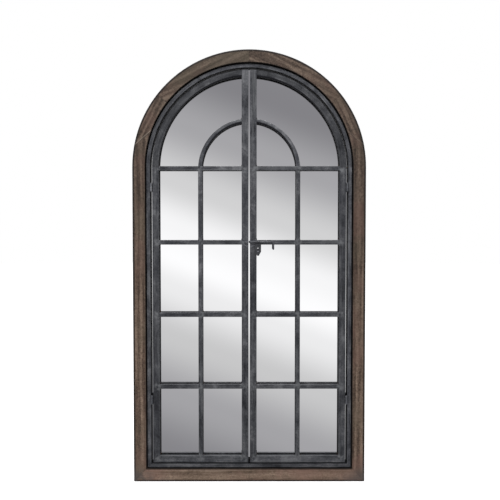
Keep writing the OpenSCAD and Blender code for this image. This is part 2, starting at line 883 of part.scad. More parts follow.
module guide_rivets() {
  color(ZINC) for (p = concat(plate_rivets, foot_rivets)) domed_rivet(p, plate_front);
}

// Bolt: one bent rod with two collars that hold the hasp between them

module bolt_rod() {
  color(STEEL) {
    translate([tip_x, -bolt_d, bolt_z]) rotate([0, 90, 0])
      cylinder(h = tip_chamfer, r1 = rod_r - tip_chamfer, r2 = rod_r);
    rod_line(tip_x + tip_chamfer, handle_x - rod_bend, rod_r);
    translate([handle_x - rod_bend, -bolt_d, bolt_z - rod_bend]) rotate([90, 0, 0])
      rotate_extrude(angle = 90) translate([rod_bend, 0]) circle(rod_r);
    translate([handle_x, -bolt_d, bolt_z - handle_drop + rod_r])
      cylinder(h = handle_drop - rod_r - rod_bend, r = rod_r);
    translate([handle_x, -bolt_d, bolt_z - handle_drop + rod_r]) sphere(rod_r);
  }
}

module bolt_collars() {
  color(STEEL) for (s = [-1, 1]) {
    middle = hasp_x + s * (eye_w / 2 + collar_gap + collar_w / 2);
    difference() {
      rod_line(middle - collar_w / 2, middle + collar_w / 2, collar_r);
      rod_line(middle - collar_w, middle + collar_w, rod_r);
    }
  }
}

module hasp() {
  color(STEEL) difference() {
    union() {
      rod_line(hasp_x - eye_w / 2, hasp_x + eye_w / 2, eye_r);
      sheet(bolt_d - hasp_t / 2, hasp_t) translate([hasp_x, bolt_z]) {
        translate([-eye_w / 2, -hasp_neck - e]) square([eye_w, hasp_neck + e]);
        polygon([
          [-hasp_w / 2, -hasp_neck], [-hasp_w / 2, hasp_taper - hasp_len],
          [-hasp_tip_r, hasp_tip_r - hasp_len], [hasp_tip_r, hasp_tip_r - hasp_len],
          [hasp_w / 2, hasp_taper - hasp_len], [hasp_w / 2, -hasp_neck]
        ]);
        translate([0, hasp_tip_r - hasp_len]) circle(hasp_tip_r);
      }
    }
    rod_line(hasp_x - hasp_w, hasp_x + hasp_w, rod_r + running_fit);
    forward([hasp_x, bolt_z - hasp_hole_drop], bolt_d - hasp_t, 2 * hasp_t, hasp_hole_r);
    forward([hasp_x, bolt_z - stud_drop], bolt_d - hasp_t, 2 * hasp_t, stud_shank_r + fixed_fit);
  }
}

module hasp_stud() {
  color(ZINC) translate([0, 0, bolt_z - stud_drop]) {
    forward([hasp_x, 0], bolt_d - hasp_t / 2, hasp_t, stud_shank_r);
    dome([hasp_x, 0], bolt_d + hasp_t / 2, stud_r, stud_head_h);
  }
}

bottom_rail();
post(LEFT);  // left_post
post(RIGHT);  // right_post
haunch(LEFT);  // left_haunch
haunch(RIGHT);  // right_haunch
crown(LEFT);  // left_crown
crown(RIGHT);  // right_crown
frame_dowels();
steel_sill();
jamb(LEFT);  // left_jamb
jamb(RIGHT);  // right_jamb
steel_arch();
flange_screws();
door_stop();
mirror_glass();
back_board();
board_screws();
hanger(LEFT);  // left_hanger
hanger(RIGHT);  // right_hanger
hanger_screws();
frame_leaf(LEFT, upper_hinge_z);  // left_upper_frame_leaf
frame_leaf(LEFT, lower_hinge_z);  // left_lower_frame_leaf
frame_leaf(RIGHT, upper_hinge_z);  // right_upper_frame_leaf
frame_leaf(RIGHT, lower_hinge_z);  // right_lower_frame_leaf
hinge_pin(LEFT, upper_hinge_z);  // left_upper_hinge_pin
hinge_pin(LEFT, lower_hinge_z);  // left_lower_hinge_pin
hinge_pin(RIGHT, upper_hinge_z);  // right_upper_hinge_pin
hinge_pin(RIGHT, lower_hinge_z);  // right_lower_hinge_pin
frame_leaf_rivets();
hinge_stile(LEFT);  // left_hinge_stile
meeting_stile(LEFT);  // left_meeting_stile
arch_rail(LEFT);  // left_arch_rail
foot_rail(LEFT);  // left_foot_rail
upright_muntin(LEFT);  // left_upright_muntin
cross_muntins(LEFT);  // left_cross_muntins
arch_muntin(LEFT);  // left_arch_muntin
door_leaf(LEFT, upper_hinge_z);  // left_upper_door_leaf
door_leaf(LEFT, lower_hinge_z);  // left_lower_door_leaf
leaf_rivets(LEFT);  // left_leaf_rivets
hinge_stile(RIGHT);  // right_hinge_stile
meeting_stile(RIGHT);  // right_meeting_stile
arch_rail(RIGHT);  // right_arch_rail
foot_rail(RIGHT);  // right_foot_rail
upright_muntin(RIGHT);  // right_upright_muntin
cross_muntins(RIGHT);  // right_cross_muntins
arch_muntin(RIGHT);  // right_arch_muntin
door_leaf(RIGHT, upper_hinge_z);  // right_upper_door_leaf
door_leaf(RIGHT, lower_hinge_z);  // right_lower_door_leaf
leaf_rivets(RIGHT);  // right_leaf_rivets
keeper();
keeper_rivets();
bolt_guide();
muntin_guide();
guide_rivets();
bolt_rod();
bolt_collars();
hasp();
hasp_stud();
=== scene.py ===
import math

import bmesh
import bpy
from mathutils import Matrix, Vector


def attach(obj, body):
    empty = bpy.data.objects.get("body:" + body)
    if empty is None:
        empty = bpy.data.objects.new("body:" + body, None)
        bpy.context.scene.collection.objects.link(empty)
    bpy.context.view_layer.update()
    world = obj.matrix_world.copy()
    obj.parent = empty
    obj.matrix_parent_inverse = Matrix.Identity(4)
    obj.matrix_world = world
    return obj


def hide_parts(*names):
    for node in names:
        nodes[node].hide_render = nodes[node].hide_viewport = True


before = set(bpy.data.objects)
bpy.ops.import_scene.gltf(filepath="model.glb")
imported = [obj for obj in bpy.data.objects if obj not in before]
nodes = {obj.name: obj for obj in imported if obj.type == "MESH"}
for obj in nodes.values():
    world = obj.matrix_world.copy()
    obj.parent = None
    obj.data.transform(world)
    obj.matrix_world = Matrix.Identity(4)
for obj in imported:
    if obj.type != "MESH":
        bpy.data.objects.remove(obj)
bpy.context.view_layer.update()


# Camera. The mirror is seen straight on from 2.8 m, from chest height. The lens tips down by about
# two degrees, so the foot of the frame looks a little narrower than the arch.
eye_distance = 2.8
eye_height = 0.927
lens_length = 57.0
tips_down = math.radians(2.29)
rolls = math.radians(0.06)
camera_data = bpy.data.cameras.new("camera")
camera_data.sensor_width = 36
camera_data.lens = lens_length
camera = bpy.data.objects.new("camera", camera_data)
camera.location = (0, -eye_distance, eye_height)
camera.rotation_euler = (math.pi / 2 - tips_down, 0, -rolls)
bpy.context.scene.collection.objects.link(camera)
bpy.context.scene.camera = camera
bpy.context.scene.view_settings.view_transform = "Standard"


# Floor. A smooth white floor, wide enough for every view. It keeps the soft shadow under the frame,
# and shows white where no shadow lies. What shines doesn't see it.
floor_radius = 14
floor_drop = 0.0005
own_glow = 0.7
seen_white = (0.8, 0.8, 0.8)
bounced_grey = (0.4, 0.4, 0.4)
white = (1, 1, 1)


def add_node(tree, kind, inputs=None, **settings):
    made = tree.nodes.new(kind)
    for name, value in settings.items():
        setattr(made, name, value)
    for key, value in (inputs or {}).items():
        if isinstance(value, bpy.types.NodeSocket):
            tree.links.new(value, made.inputs[key])
        else:
            made.inputs[key].default_value = value
    return made


def math_node(tree, operation, *values):
    return add_node(tree, "ShaderNodeMath", dict(enumerate(values)), operation=operation).outputs[0]


def times(tree, first, second):
    return math_node(tree, "MULTIPLY", first, second)


def blend_node(tree, share, first, second, blend_type="MIX"):
    """Goes from the first colour to the second by this share. A plain colour is three numbers."""
    first, second = ((*end, 1) if isinstance(end, tuple) else end for end in (first, second))
    return add_node(tree, "ShaderNodeMix", {0: share, 6: first, 7: second}, data_type="RGBA",
                    blend_type=blend_type).outputs[2]


def new_material(name):
    material = bpy.data.materials.new(name)
    material.use_nodes = True
    material.node_tree.nodes.clear()
    return material


bpy.ops.object.select_all(action="DESELECT")
bpy.ops.mesh.primitive_circle_add(vertices=96, radius=floor_radius, fill_type="NGON",
                                  location=(0, 0, -floor_drop))
floor = bpy.context.object
floor.name = "floor"
white_floor = new_material("white floor")
tree = white_floor.node_tree
by_camera = add_node(tree, "ShaderNodeLightPath").outputs["Is Camera Ray"]
paint = add_node(tree, "ShaderNodeBsdfDiffuse", {
    "Color": blend_node(tree, by_camera, bounced_grey, seen_white)})
glow = add_node(tree, "ShaderNodeEmission", {
    "Color": (*white, 1), "Strength": times(tree, by_camera, own_glow)})
both = add_node(tree, "ShaderNodeAddShader", {0: paint.outputs[0], 1: glow.outputs[0]})
add_node(tree, "ShaderNodeOutputMaterial", {"Surface": both.outputs[0]})
floor.data.materials.append(white_floor)
floor.visible_glossy = False


# Studio light. An even pale room, one large soft lamp high in front and a weaker one on each side,
# which the mirror doesn't show. What shines sees a wide slanting band of light between two darker
# ends of the room.
band_slant = 0.38
band_lean = -0.0854
band_reach = 0.5
band_stops = ((0.0, 0.52), (0.26, 0.25), (0.33, 0.39), (0.40, 0.61), (0.462, 0.89), (0.50, 1.05),
              (0.54, 0.98), (0.595, 0.68), (0.67, 0.40), (0.74, 0.24), (1.0, 0.52))
low_down, high_up = -0.6, 0.8
room_dim, room_bright = 0.22, 0.66
middle_of_mirror = (0, 0, 0.8)


def span(tree, value, low, high, start=0.0, end=1.0):
    """Brings a value from low to high evenly to start to end, and holds it there beyond them."""
    return add_node(tree, "ShaderNodeMapRange", {0: value, 1: low, 2: high, 3: start,
                                                 4: end}).outputs[0]


def ramp_node(tree, value, stops, interpolation="LINEAR"):
    """Colours a value by stops, each a place with three numbers, or one where it is a plain value."""
    made = add_node(tree, "ShaderNodeValToRGB", {0: value})
    elements = made.color_ramp.elements
    made.color_ramp.interpolation = interpolation
    while len(elements) < len(stops):
        elements.new(0.5)
    for element, (place, color) in zip(elements, stops):
        element.position = place
        element.color = (*color, 1) if len(color) == 3 else (*color * 3, 1)
    return made.outputs[0]


def room_tone(value):
    """A grey that is slightly violet where it is dark."""
    violet = 1 - min(value, 0.6) / 0.6
    return value * 0.995, value * (0.995 - 0.02 * violet), value * (1 + 0.08 * violet)


def hang_lamp(name, place, aim, size, watts):
    lamp_data = bpy.data.lights.new(name, "AREA")
    lamp_data.shape = "RECTANGLE"
    lamp_data.size, lamp_data.size_y = size
    lamp_data.energy = watts
    lamp = bpy.data.objects.new(name, lamp_data)
    lamp.location = place
    turn = Vector(aim) - Vector(place)
    lamp.rotation_euler = turn.to_track_quat("-Z", "Y").to_euler()
    bpy.context.scene.collection.objects.link(lamp)
    return lamp


room = bpy.data.worlds.new("studio")
bpy.context.scene.world = room
room.use_nodes = True
tree = room.node_tree
tree.nodes.clear()
paths = add_node(tree, "ShaderNodeLightPath")
where = add_node(tree, "ShaderNodeTexCoord")
across = add_node(tree, "ShaderNodeSeparateXYZ", {0: where.outputs["Generated"]})
slant = math_node(tree, "MULTIPLY_ADD", across.outputs["X"], band_slant, across.outputs["Z"])
band_place = math_node(tree, "MULTIPLY_ADD", across.outputs["Y"], band_lean, slant)
band = ramp_node(tree, span(tree, band_place, -band_reach, band_reach),
                 [(place, room_tone(value)) for place, value in band_stops], "EASE")
even = span(tree, across.outputs["Z"], low_down, high_up, room_dim, room_bright)
lit = blend_node(tree, paths.outputs["Is Glossy Ray"], even, band)
shown = blend_node(tree, paths.outputs["Is Camera Ray"], lit, white)
sky = add_node(tree, "ShaderNodeBackground", {"Color": shown, "Strength": 1.0})
add_node(tree, "ShaderNodeOutputWorld", {"Surface": sky.outputs[0]})
room.cycles.sampling_method = "NONE"

hang_lamp("high_lamp", (-0.3, -1.7, 3.4), middle_of_mirror, (2.2, 1.0), 92)
for name, side, watts in (("left_lamp", -1, 13), ("right_lamp", 1, 9)):
    side_lamp = hang_lamp(name, (side * 3.0, -2.2, 1.4), middle_of_mirror, (1.2, 2.2), watts)
    side_lamp.visible_glossy = False


# Timber frame. Seven pieces sawn from old softwood boards and dowelled end to end. The rail and the
# posts run straight, and each arch piece is cut out of a straight board, with the grain along its
# chord. Brown stain, rubbed grey on the faces, dark in the joints and none at the back, with painted
# shade in the arrises and the colour painted darker towards the top.
half_width = 0.406
spring_height = 1.104
# Bands where painted shade darkens the timber: the outer arris, and the inner arris with the wall
# beside the steel.
outer_shade_band = (half_width - 0.0085, half_width - 0.0050)
inner_shade_band = (0.3622, 0.3645)
rounded_depth = (0.015, 0.036)
grain_stretch = 14
quarter = math.pi / 2
haunch_lean = math.radians(26)
crown_lean = math.radians(64)

# A joint's line on the right: how far its normal points outwards and up, and its distance from the
# middle of the foot.
splice_line = (0.6573, 0.7536, 1.1488)
crown_joint_line = (-0.6157, 0.7880, 0.8700)
mitre_line = (0.7071, 0.7071, 0.2871)
splice_top = (1.228, 1.234)
mitre_filler = 0.0009


def scaled(share, color):
    return tuple(share * part for part in color)


def flip(tree, value):
    """What is left of one."""
    return math_node(tree, "SUBTRACT", 1.0, value)


def weighed(tree, *parts):
    """Adds up values, each by its share."""
    total = 0.0
    for value, share in parts:
        total = math_node(tree, "MULTIPLY_ADD", value, share, total)
    return total


def rise(tree, value, low, high):
    """Goes softly from none at low to all at high."""
    return add_node(tree, "ShaderNodeMapRange", {0: value, 1: low, 2: high, 3: 0.0, 4: 1.0},
                    interpolation_type="SMOOTHSTEP").outputs[0]


def noise_node(tree, vector, scale, detail=3.0, roughness=0.5, distortion=0.0):
    return add_node(tree, "ShaderNodeTexNoise", {
        "Vector": vector, "Scale": scale, "Detail": detail, "Roughness": roughness,
        "Distortion": distortion}).outputs[0]


def bump_node(tree, height, strength, distance):
    return add_node(tree, "ShaderNodeBump", {
        "Height": height, "Strength": strength, "Distance": distance}).outputs[0]


def shifted(tree, spot, shift):
    """The spot moved to another part of a pattern."""
    return add_node(tree, "ShaderNodeMapping", {"Vector": spot, "Location": shift}).outputs[0]


def along_grain(tree, spot, shift, turn, stretch):
    """The spot with its grain turned from +X about Y and drawn out along it."""
    return add_node(tree, "ShaderNodeMapping", {
        "Vector": spot, "Location": shift, "Rotation": (0, turn, 0), "Scale": (stretch, 1, 1)},
        vector_type="TEXTURE").outputs[0]


def length_node(tree, first, second):
    """The length of the slant whose two legs are given."""
    return math_node(tree, "SQRT", math_node(tree, "MULTIPLY_ADD", second, second,
                                             times(tree, first, first)))


def outline_radius(tree, place):
    """How far out a spot lies, which is half_width all along the outer edge. It is measured from the
    middle line, above the spring line from the arch's centre, and at the foot downwards."""
    above = math_node(tree, "MAXIMUM",
                      math_node(tree, "SUBTRACT", place.outputs["Z"], spring_height), 0.0)
    below = math_node(tree, "SUBTRACT", half_width, place.outputs["Z"])
    return math_node(tree, "MAXIMUM", length_node(tree, place.outputs["X"], above), below)


def line_distance(tree, side_x, height, normal_x, normal_z, offset):
    """Signed distance from a joint's line, which is the same on both sides of the middle."""
    along_z = math_node(tree, "MULTIPLY_ADD", height, normal_z, -offset)
    return math_node(tree, "MULTIPLY_ADD", side_x, normal_x, along_z)


def started(name):
    """A new material, its tree, and the spot on the object that its patterns read."""
    material = new_material(name)
    tree = material.node_tree
    return material, tree, add_node(tree, "ShaderNodeTexCoord").outputs["Object"]


def finished(material, inputs):
    """Gives the material its one surface."""
    tree = material.node_tree
    surface = add_node(tree, "ShaderNodeBsdfPrincipled", inputs)
    add_node(tree, "ShaderNodeOutputMaterial", {"Surface": surface.outputs[0]})
    return material


def aged_timber(name, grain_turn, board, tone=1.0, red=0.35, seam=0.5, olive=1.0, bold=1.0):
    """Old stained softwood. grain_turn turns the grain from +X about Y, and board picks the figure.
    tone is how light the board is, red and olive how much of it is stained so, seam how clear its
    joints are and bold how strong its figure is."""
    material, tree, spot = started(name)
    place = add_node(tree, "ShaderNodeSeparateXYZ", {0: spot})
    height = place.outputs["Z"]
    side_x = math_node(tree, "ABSOLUTE", place.outputs["X"])
    depth = times(tree, place.outputs["Y"], -1.0)
    along = along_grain(tree, spot, (0.37 * board, 0.11 * board + 0.06, 0.23 * board), grain_turn,
                        grain_stretch)

    # The figure: rings, mottle, streaks and fibres.
    rings = add_node(tree, "ShaderNodeTexWave", {
        "Vector": along, "Scale": 16.0, "Distortion": 9.0, "Detail": 4.0, "Detail Scale": 1.3,
        "Detail Roughness": 0.62}, wave_type="RINGS", rings_direction="X",
        wave_profile="SIN").outputs[1]
    fibres = noise_node(tree, along, 420, 5, 0.7)
    streaks = noise_node(tree, along, 70, 5, 0.65, 0.4)
    mottle = noise_node(tree, spot, 150, 6, 0.75, 0.7)
    figure = weighed(tree, (rings, 0.10), (mottle, 0.44), (streaks, 0.28), (fibres, 0.18))
    figure = math_node(tree, "MULTIPLY_ADD", figure, bold, 0.5 - 0.5 * bold)
    wood = ramp_node(tree, figure, [(stop, scaled(tone, color)) for stop, color in (
        (0.38, (0.034, 0.024, 0.018)), (0.46, (0.078, 0.057, 0.043)),
        (0.53, (0.118, 0.090, 0.070)), (0.63, (0.205, 0.164, 0.130)))])

    # The finish: red stain, an olive cast, grey where it is rubbed along the grain, dark blotches.
    cast_spot = shifted(tree, spot, (3.1 + board, 0, 1.7))
    for cloud, low, high, share, color in (
            (noise_node(tree, spot, 7.5, 4, 0.55, 0.6), 0.43, 0.70, red, (0.148, 0.096, 0.080)),
            (noise_node(tree, cast_spot, 5.5, 3, 0.5), 0.50, 0.66, 0.5 * olive,
             (0.088, 0.082, 0.058)),
            (noise_node(tree, along, 45, 5, 0.65, 0.8), 0.54, 0.68, 0.35, (0.175, 0.145, 0.118)),
            (noise_node(tree, spot, 62, 5, 0.7, 1.0), 0.52, 0.66, 0.45, (0.055, 0.040, 0.031))):
        wood = blend_node(tree, times(tree, rise(tree, cloud, low, high), share), wood,
                          scaled(tone, color))

    # Painted shade in the arrises: the outer one darkens against its highlight, and the inner one and
    # the wall beside the gap to the steel go near black, broken up by a noise.
    shade_and_scuff_noise = noise_node(tree, spot, 34, 4, 0.65)
    radius = outline_radius(tree, place)
    outer = times(tree, rise(tree, radius, *outer_shade_band), rise(tree, depth, *rounded_depth))
    inner = flip(tree, rise(tree, radius, *inner_shade_band))
    edge = times(tree, math_node(tree, "MAXIMUM", outer, inner),
                 math_node(tree, "MULTIPLY_ADD", shade_and_scuff_noise, 0.6, 0.65))
    wood = blend_node(tree, math_node(tree, "MINIMUM", edge, 0.96), wood, (0.014, 0.010, 0.008))

    # Painted shade: the colour is darker towards the top and lighter towards the foot, and warmed.
    # The corners at the foot are scuffed grey.
    painted_height_light = math_node(tree, "MULTIPLY_ADD", flip(tree, rise(tree, height, 0.1, 1.25)), 0.62, 0.62)
    painted_height_tint = add_node(tree, "ShaderNodeCombineColor", {
        0: painted_height_light, 1: times(tree, painted_height_light, 0.905), 2: times(tree, painted_height_light, 0.85)}).outputs[0]
    wood = blend_node(tree, 1.0, wood, painted_height_tint, "MULTIPLY")
    from_corner = math_node(tree, "MULTIPLY_ADD", height, 2.0,
                            math_node(tree, "SUBTRACT", half_width, side_x))
    scuffed = times(tree, flip(tree, rise(tree, from_corner, 0.02, 0.17)),
                    rise(tree, shade_and_scuff_noise, 0.34, 0.54))
    wood = blend_node(tree, times(tree, scuffed, 0.85), wood, (0.078, 0.066, 0.063))

    # The joints: a dark line, and beside the splice the pale end grain.
    splice, crown_joint, mitre = (line_distance(tree, side_x, height, *line)
                                  for line in (splice_line, crown_joint_line, mitre_line))
    over_splice = rise(tree, height, *splice_top)
    nearest = math_node(tree, "ADD", math_node(tree, "ABSOLUTE", splice), over_splice)
    for joint, filler in ((crown_joint, 0.0), (mitre, mitre_filler), (side_x, 0.0)):
        nearest = math_node(tree, "MINIMUM", nearest, math_node(
            tree, "ADD", math_node(tree, "ABSOLUTE", joint), filler))
    crack = flip(tree, rise(tree, nearest, 0.0003, 0.0014))
    pale = times(tree, rise(tree, splice, 0.0008, 0.0022), flip(tree, math_node(
        tree, "MAXIMUM", over_splice, rise(tree, splice, 0.0035, 0.0052))))
    wood = blend_node(tree, times(tree, pale, 0.6 * seam), wood, (0.24, 0.20, 0.165))
    wood = blend_node(tree, times(tree, crack, seam), wood, (0.016, 0.012, 0.009))

    # The raw back, and the open pores.
    raw = flip(tree, rise(tree, depth, 0.0003, 0.0016))
    wood = blend_node(tree, times(tree, raw, 0.7), wood, blend_node(
        tree, fibres, (0.20, 0.135, 0.080), (0.42, 0.31, 0.205)))
    pores = rise(tree, noise_node(tree, along, 700, 2, 0.5), 0.64, 0.73)
    wood = blend_node(tree, times(tree, pores, 0.55), wood, (0.026, 0.019, 0.014))
    relief = weighed(tree, (fibres, 0.6), (mottle, 0.35),
                     (math_node(tree, "MAXIMUM", pores, crack), -0.5))
    return finished(material, {
        "Base Color": wood, "Roughness": ramp_node(tree, figure, ((0.3, (0.82,)), (0.7, (0.62,)))),
        "Normal": bump_node(tree, relief, 0.55, 0.0008), "Specular IOR Level": 0.3})


def dress(names, material):
    """Gives the named CAD nodes this finish in every slot."""
    for name in names:
        mesh = nodes[name].data
        if not mesh.materials:
            mesh.materials.append(material)
        for slot in range(len(mesh.materials)):
            mesh.materials[slot] = material


dress(["bottom_rail"], aged_timber("rail timber", 0.0, 1, tone=1.34, red=0.6, seam=0.2, olive=0.2,
                                   bold=0.9))
dress(["left_post"], aged_timber("left post timber", -quarter, 2, tone=1.10, red=0.4, seam=0.8,
                                 olive=0.7, bold=1.2))
dress(["right_post"], aged_timber("right post timber", -quarter, 3, tone=1.02, red=0.8, seam=0.4,
                                  olive=0.6, bold=1.3))
for side, sign, board, seam in (("left", -1, 4, 0.8), ("right", 1, 6, 0.25)):
    dress([side + "_haunch"], aged_timber(
        side + " haunch timber", -quarter - sign * haunch_lean, board, tone=1.08, red=0.5,
        seam=seam, bold=1.7))
    dress([side + "_crown"], aged_timber(
        side + " crown timber", -quarter - sign * crown_lean, board + 1, tone=1.08, red=0.5,
        seam=seam, bold=1.5))


# Dowels. Beech pegs glued across each timber joint. They lie inside the timber, and only their end
# grain would show if a joint opened.
def turned_beech():
    material, tree, spot = started("turned beech")
    fleck = noise_node(tree, spot, 600, 3, 0.6)
    wood = ramp_node(tree, fleck, ((0.35, (0.36, 0.22, 0.12)), (0.65, (0.52, 0.35, 0.21))))
    return finished(material, {
        "Base Color": wood, "Roughness": 0.6, "Normal": bump_node(tree, fleck, 0.3, 0.0003)})


dress(["frame_dowels"], turned_beech())


# Steel frame. Folded 2.5 mm sheet, mitred and welded at the foot and rolled round the arch. Mill
# scale blackened and waxed, with pale cloudy patches, and rubbed brighter where the welds are dressed.
top_bar_height = 1.0965
bar_step = 0.25375
bar_ends = (0.020, 0.1705, 0.320)
dressed_reach = (0.006, 0.018)
arch_reach = 0.34
mark_stretch = 16
# The near black that painted shade gives the steel.
painted_shade_black = (0.008, 0.008, 0.010)


def waxed_steel(name, course, seed, arch_height=None, lift=1.0, dressed=False, rubbing=0.45,
                face=0.036, upper=0.12, inner_edge=None, outer_edge=1.0, thinning=1.0):
    """Blackened steel. course turns the rolling marks from +X about Y, or arch_height bends them
    round the arch whose centre is at that height. lift is how light it is, rubbing how much of it is
    worn pale, and dressed rubs it bright where the bars of a leaf are welded.
    Further back than the depth face, painted shade turns it near black, but only by the share
    upper where it faces up, and its metallic and specular levels drop there. Round an arch, painted
    shade turns the arrises at the radii inner_edge and outer_edge black too. The one at inner_edge is
    widest at the top, and thinning is how fast it narrows from there."""
    material, tree, spot = started(name)
    place = add_node(tree, "ShaderNodeSeparateXYZ", {0: spot})
    height = place.outputs["Z"]
    if arch_height is None:
        course_spot = along_grain(tree, spot, (seed * 0.31, seed * 0.17, seed * 0.23), course,
                                  mark_stretch)
    else:
        drop = math_node(tree, "SUBTRACT", height, arch_height)
        turn = math_node(tree, "ARCTAN2", drop, place.outputs["X"])
        reach = length_node(tree, place.outputs["X"], drop)
        course_spot = add_node(tree, "ShaderNodeCombineXYZ", {
            0: times(tree, turn, arch_reach / mark_stretch), 1: place.outputs["Y"],
            2: reach}).outputs[0]

    # The scale: clouds, speckle and rolling marks, then its specks, wear and soot.
    cloud = noise_node(tree, shifted(tree, spot, (seed, 0.3 * seed, 0.7 * seed)), 13, 5, 0.6, 0.8)
    marks = noise_node(tree, course_spot, 260, 4, 0.65)
    broad = noise_node(tree, course_spot, 60, 3, 0.6)
    speckle = noise_node(tree, spot, 210, 5, 0.72, 0.3)
    tone = weighed(tree, (cloud, 0.38), (speckle, 0.24), (marks, 0.18), (broad, 0.20))
    steel = ramp_node(tree, tone, [(stop, scaled(lift, color)) for stop, color in (
        (0.41, (0.018, 0.019, 0.023)), (0.475, (0.050, 0.052, 0.060)),
        (0.53, (0.084, 0.086, 0.095)), (0.60, (0.175, 0.177, 0.189)))])
    specks = rise(tree, noise_node(tree, spot, 420, 2, 0.5), 0.64, 0.72)
    worn = rise(tree, noise_node(tree, course_spot, 95, 3, 0.55, 0.6), 0.53, 0.66)
    soot = rise(tree, noise_node(tree, course_spot, 70, 4, 0.6, 0.4), 0.54, 0.68)
    for patches, share, color in ((specks, 0.35, (0.022, 0.023, 0.026)),
                                  (worn, rubbing, scaled(lift, (0.150, 0.154, 0.162))),
                                  (soot, 0.6, (0.026, 0.027, 0.031))):
        steel = blend_node(tree, times(tree, patches, share), steel, color)

    if dressed:
        side_x = math_node(tree, "ABSOLUTE", place.outputs["X"])
        gap_x = 1.0
        for end in bar_ends:
            gap_x = math_node(tree, "MINIMUM", gap_x, math_node(
                tree, "ABSOLUTE", math_node(tree, "SUBTRACT", side_x, end)))
        gap_z = math_node(tree, "PINGPONG", math_node(tree, "SUBTRACT", height, top_bar_height),
                          bar_step / 2)
        rubbed = times(tree, flip(tree, rise(tree, gap_x, *dressed_reach)),
                       flip(tree, rise(tree, gap_z, *dressed_reach)))
        rubbed = times(tree, rubbed, flip(tree, rise(tree, height, 1.12, 1.14)))
        rubbed = times(tree, rubbed, rise(tree, noise_node(tree, spot, 90, 4, 0.6), 0.40, 0.62))
        steel = blend_node(tree, times(tree, rubbed, 0.7), steel, (0.185, 0.190, 0.200))

    # Painted shade: near black behind the face, a little less on its rear, and at an arch's arrises,
    # with the metallic and specular levels lowered there.
    facing = add_node(tree, "ShaderNodeSeparateXYZ", {
        0: add_node(tree, "ShaderNodeNewGeometry").outputs["True Normal"]})
    behind = rise(tree, math_node(tree, "ADD", place.outputs["Y"], face), 0.0006, 0.0022)
    upward = rise(tree, facing.outputs["Z"], 0.1, 0.7)
    rear = rise(tree, facing.outputs["Y"], 0.5, 0.9)
    painted_shade = times(tree, behind, times(tree, math_node(tree, "MULTIPLY_ADD", upward, upper - 0.9, 0.9),
                                     math_node(tree, "MULTIPLY_ADD", rear, -0.35, 1.0)))
    if inner_edge:
        rising = math_node(tree, "MAXIMUM", math_node(tree, "DIVIDE", drop, reach), 0.0)
        from_edge = math_node(tree, "MULTIPLY_ADD", math_node(tree, "POWER", rising, thinning),
                              -0.0055, reach)
        inner = math_node(tree, "MULTIPLY_ADD", rise(
            tree, from_edge, inner_edge - 0.0005, inner_edge + 0.0025), -0.92, 0.92)
        outer = times(tree, rise(tree, reach, outer_edge - 0.0016, outer_edge - 0.0006), 0.95)
        painted_shade = math_node(tree, "MAXIMUM", painted_shade, math_node(tree, "MAXIMUM", inner, outer))
    steel = blend_node(tree, painted_shade, steel, painted_shade_black)
    sheen = math_node(tree, "MULTIPLY_ADD", painted_shade, -0.36, 0.35)
    relief = weighed(tree, (marks, 0.5), (cloud, 0.4), (specks, 0.3))
    return finished(material, {
        "Base Color": steel, "Metallic": sheen, "Specular IOR Level": sheen,
        "Roughness": ramp_node(tree, tone, ((0.35, (0.42,)), (0.65, (0.60,)))),
        "Normal": bump_node(tree, relief, 0.4, 0.0004)})


# Painted shade: the frame is painted near black everywhere behind its front face, the walls in the
# gaps too, even where they face up.
channel_shade = {"face": 0.037, "upper": 0.9}
dress(["steel_sill"], waxed_steel("sill steel", 0.0, 1, lift=0.9, **channel_shade))
dress(["left_jamb"], waxed_steel("left jamb steel", -quarter, 2, **channel_shade))
dress(["right_jamb"], waxed_steel("right jamb steel", -quarter, 3, lift=1.35, **channel_shade))
dress(["steel_arch"], waxed_steel("arch steel", 0.0, 3, arch_height=spring_height, lift=0.98,
                                  **channel_shade))


# Door stop. A tab bent from 1.5 mm strip and spot welded to the sill behind the meeting stiles, which
# come to rest on it. Blackened with the frame, and painted near black as shade behind the leaves.
dress(["door_stop"], waxed_steel("stop steel", 0.0, 4, lift=0.8))


# Mirror. 4 mm float glass silvered on the back, with grey backing paint, and a green cast where the
# sawn edge shows. It lies in its step against the steel flange.
pane_front = 0.011
pane_back = 0.007
near_face = 0.000001
off_face = 0.00005


def silvered_glass():
    material, tree, spot = started("silvered glass")
    place = add_node(tree, "ShaderNodeSeparateXYZ", {0: spot})
    depth = times(tree, place.outputs["Y"], -1.0)
    front = rise(tree, depth, pane_front - off_face, pane_front - near_face)
    rear = flip(tree, rise(tree, depth, pane_back + near_face, pane_back + off_face))
    silver = add_node(tree, "ShaderNodeBsdfPrincipled", {
        "Base Color": (0.945, 0.945, 0.950, 1), "Metallic": 1.0, "Roughness": 0.012})
    cut = add_node(tree, "ShaderNodeBsdfPrincipled", {
        "Base Color": ramp_node(tree, noise_node(tree, spot, 900, 3, 0.6), (
            (0.3, (0.10, 0.26, 0.20)), (0.7, (0.26, 0.44, 0.36)))), "Roughness": 0.35})
    backing = add_node(tree, "ShaderNodeBsdfPrincipled", {
        "Base Color": ramp_node(tree, noise_node(tree, spot, 60, 4, 0.6), (
            (0.3, (0.20, 0.21, 0.22)), (0.7, (0.27, 0.28, 0.29)))), "Roughness": 0.7})
    edge_or_back = add_node(tree, "ShaderNodeMixShader", {
        0: rear, 1: cut.outputs[0], 2: backing.outputs[0]})
    glass = add_node(tree, "ShaderNodeMixShader", {
        0: front, 1: edge_or_back.outputs[0], 2: silver.outputs[0]})
    add_node(tree, "ShaderNodeOutputMaterial", {"Surface": glass.outputs[0]})
    return material


dress(["mirror_glass"], silvered_glass())


